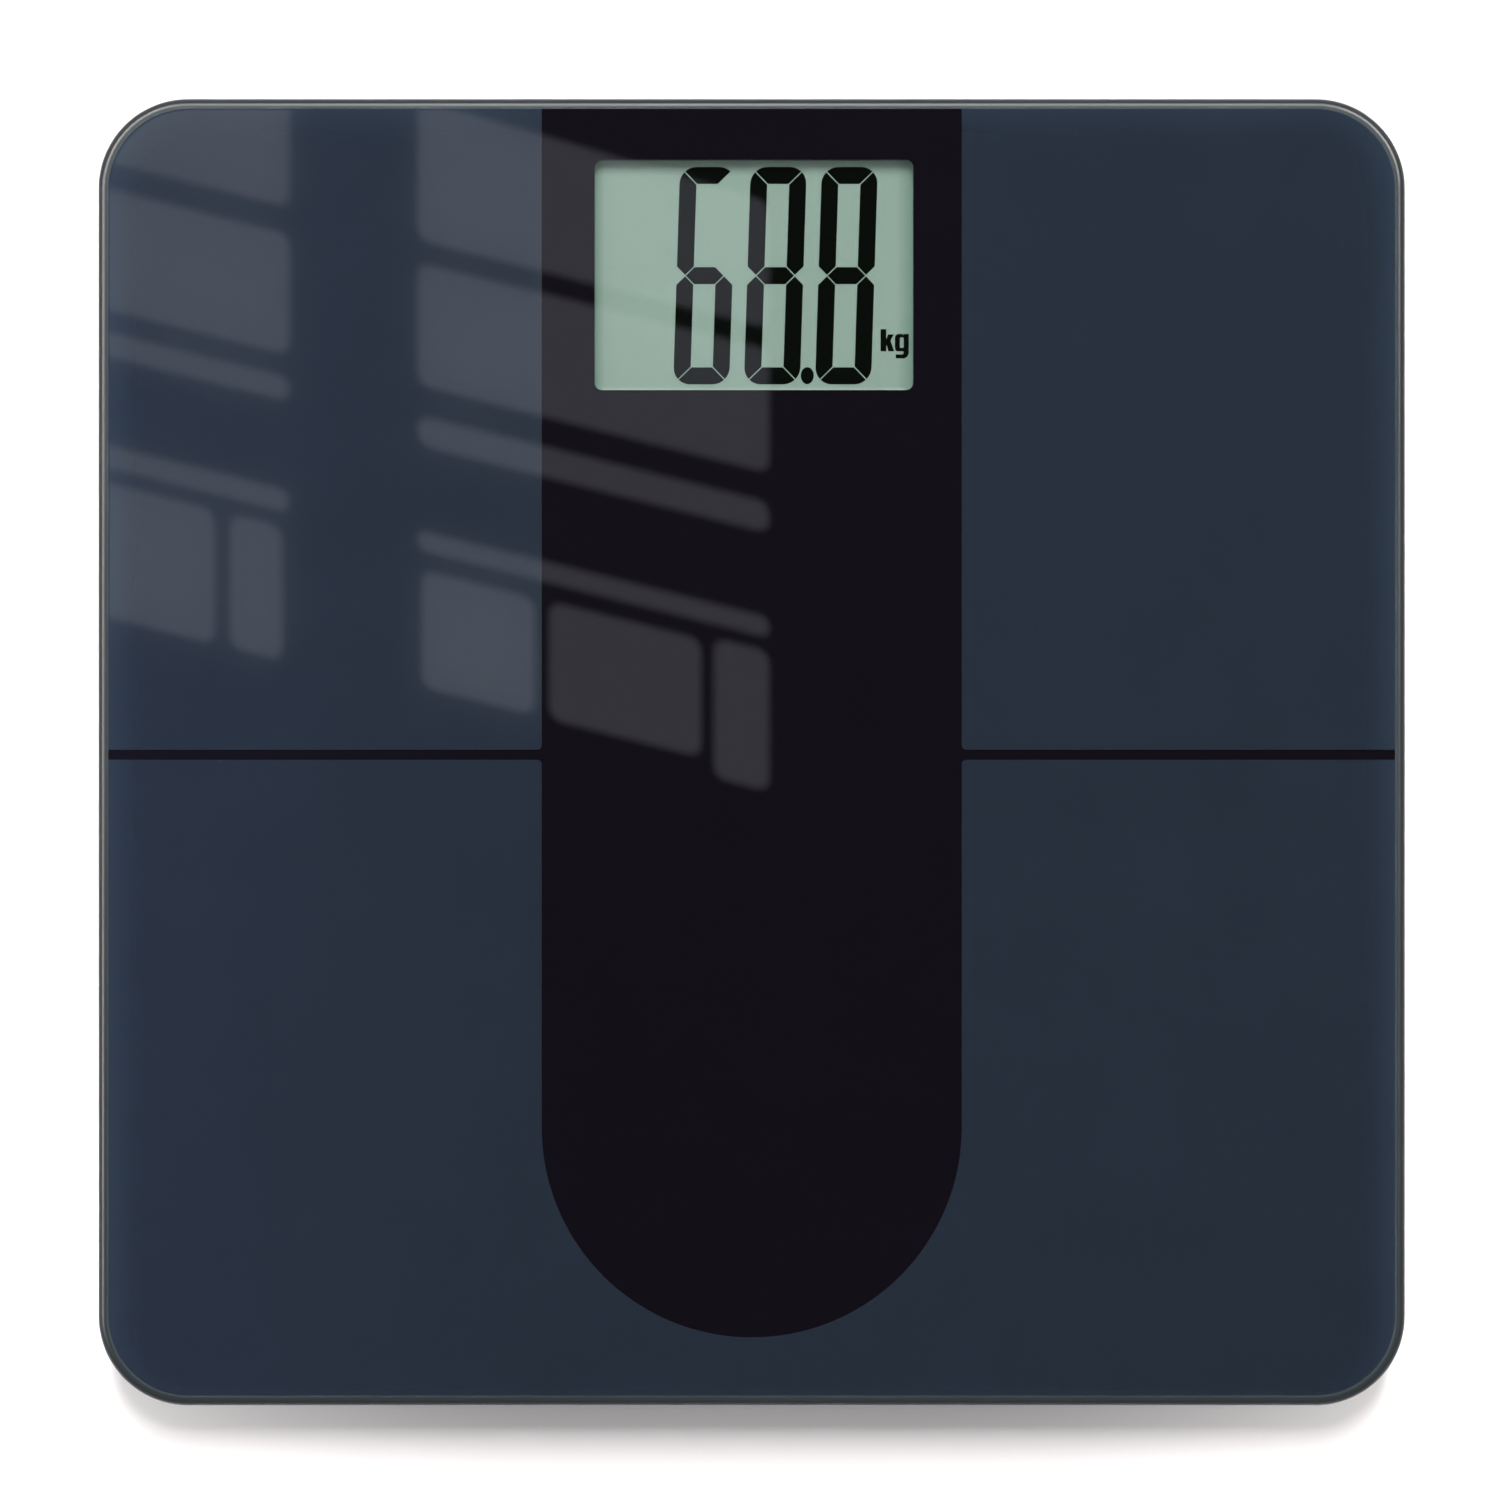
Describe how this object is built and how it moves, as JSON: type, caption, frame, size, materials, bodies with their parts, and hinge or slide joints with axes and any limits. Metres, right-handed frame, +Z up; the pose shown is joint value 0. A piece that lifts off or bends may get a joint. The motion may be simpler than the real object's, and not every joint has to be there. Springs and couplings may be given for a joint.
{
  "type": "digital bathroom scale",
  "caption": "Square glass-top electronic bathroom scale with an LCD at one end, sprung weighing feet, a unit button and a battery bay underneath.",
  "frame": {"origin": "on the floor, under the centre of the square glass platform", "axes": "+Z up through the platform, +Y towards the display end, +X to the right of the display"},
  "size_m": [0.3, 0.3, 0.026],
  "materials": {
    "platform_glass": "polished tempered float glass with a faint green tint",
    "slate_print": "slate blue ink, glossy where it is seen through the glass",
    "black_print": "black ink, glossy where it is seen through the glass",
    "white_tape": "foam mounting tape",
    "tray_plastic": "fine-textured moulded ABS",
    "foot_rubber": "matt rubber",
    "shell_plastic": "moulded ABS",
    "cell_steel": "stamped and nickel plated",
    "gauge_film": "lacquered film",
    "bracket_plastic": "moulded ABS",
    "screw_steel": "zinc plated",
    "lead_sleeve_white": "PVC sleeve",
    "frame_plastic": "moulded ABS",
    "gasket_foam": "closed-cell foam",
    "lcd_glass": "reflective grey-green liquid crystal cell",
    "reflector_plastic": "white reflector film",
    "zebra_rubber": "layered conductive silicone",
    "board_laminate": "green solder resist over glass epoxy",
    "chip_resin": "black epoxy drop",
    "capacitor_ceramic": "tan ceramic body",
    "switch_plastic": "moulded nylon",
    "button_plastic": "fine-textured moulded ABS",
    "battery_jacket": "printed sleeve",
    "contact_nickel": "nickel-plated spring steel",
    "lead_sleeve_red": "PVC sleeve",
    "lead_sleeve_black": "PVC sleeve",
    "door_plastic": "fine-textured moulded ABS"
  },
  "bodies": {
    "root": {"glass_platform": "platform_glass", "print_slate_upper_left": "slate_print", "print_slate_upper_right": "slate_print", "print_slate_lower": "slate_print", "print_black": "black_print", "mounting_tape": "white_tape", "base_tray": "tray_plastic", "cell_bracket_display_left": "bracket_plastic", "bracket_screw_display_left": "screw_steel", "cell_lead_display_left": "lead_sleeve_white", "cell_bracket_display_right": "bracket_plastic", "bracket_screw_display_right": "screw_steel", "cell_lead_display_right": "lead_sleeve_white", "cell_bracket_heel_left": "bracket_plastic", "bracket_screw_heel_left": "screw_steel", "cell_lead_heel_left": "lead_sleeve_white", "cell_bracket_heel_right": "bracket_plastic", "bracket_screw_heel_right": "screw_steel", "cell_lead_heel_right": "lead_sleeve_white", "display_frame": "frame_plastic", "display_gasket": "gasket_foam", "lcd_panel": "lcd_glass", "lcd_backing": "reflector_plastic", "zebra_strip": "zebra_rubber", "main_board": "board_laminate", "controller_chip": "chip_resin", "capacitor": "capacitor_ceramic", "unit_switch_body": "switch_plastic", "board_screw_1": "screw_steel", "board_screw_2": "screw_steel", "board_screw_3": "screw_steel", "board_screw_4": "screw_steel", "battery_cell_near": "battery_jacket", "battery_cell_far": "battery_jacket", "battery_contact_positive": "contact_nickel", "battery_contact_negative": "contact_nickel", "battery_contact_bridge": "contact_nickel", "battery_lead_red": "lead_sleeve_red", "battery_lead_black": "lead_sleeve_black"},
    "unit_button": {"unit_button": "button_plastic", "unit_switch_plunger": "switch_plastic"},
    "battery_door": {"battery_door": "door_plastic"},
    "foot_display_left": {"foot_pad_display_left": "foot_rubber", "foot_shell_display_left": "shell_plastic", "load_cell_display_left": "cell_steel", "strain_gauge_display_left": "gauge_film"},
    "foot_display_right": {"foot_pad_display_right": "foot_rubber", "foot_shell_display_right": "shell_plastic", "load_cell_display_right": "cell_steel", "strain_gauge_display_right": "gauge_film"},
    "foot_heel_left": {"foot_pad_heel_left": "foot_rubber", "foot_shell_heel_left": "shell_plastic", "load_cell_heel_left": "cell_steel", "strain_gauge_heel_left": "gauge_film"},
    "foot_heel_right": {"foot_pad_heel_right": "foot_rubber", "foot_shell_heel_right": "shell_plastic", "load_cell_heel_right": "cell_steel", "strain_gauge_heel_right": "gauge_film"}
  },
  "joints": [
    {"name": "foot_press_display_left", "type": "slide", "parent": "root", "child": "foot_display_left", "axis": [0, 0, 1], "range_m": [0, 0.0006], "stiffness_N_per_m": 8000, "springref_m": -0.001},
    {"name": "foot_press_display_right", "type": "slide", "parent": "root", "child": "foot_display_right", "axis": [0, 0, 1], "range_m": [0, 0.0006], "stiffness_N_per_m": 8000, "springref_m": -0.001},
    {"name": "foot_press_heel_left", "type": "slide", "parent": "root", "child": "foot_heel_left", "axis": [0, 0, 1], "range_m": [0, 0.0006], "stiffness_N_per_m": 8000, "springref_m": -0.001},
    {"name": "foot_press_heel_right", "type": "slide", "parent": "root", "child": "foot_heel_right", "axis": [0, 0, 1], "range_m": [0, 0.0006], "stiffness_N_per_m": 8000, "springref_m": -0.001},
    {"name": "unit_button_press", "type": "slide", "parent": "root", "child": "unit_button", "axis": [0, 0, 1], "range_m": [0, 0.0005], "stiffness_N_per_m": 400, "springref_m": -0.001},
    {"name": "battery_door_hinge", "type": "hinge", "parent": "root", "child": "battery_door", "pos_m": [0, 0.0293, 0.006], "axis": [-1, 0, 0], "range_deg": [0, 80]}
  ]
}
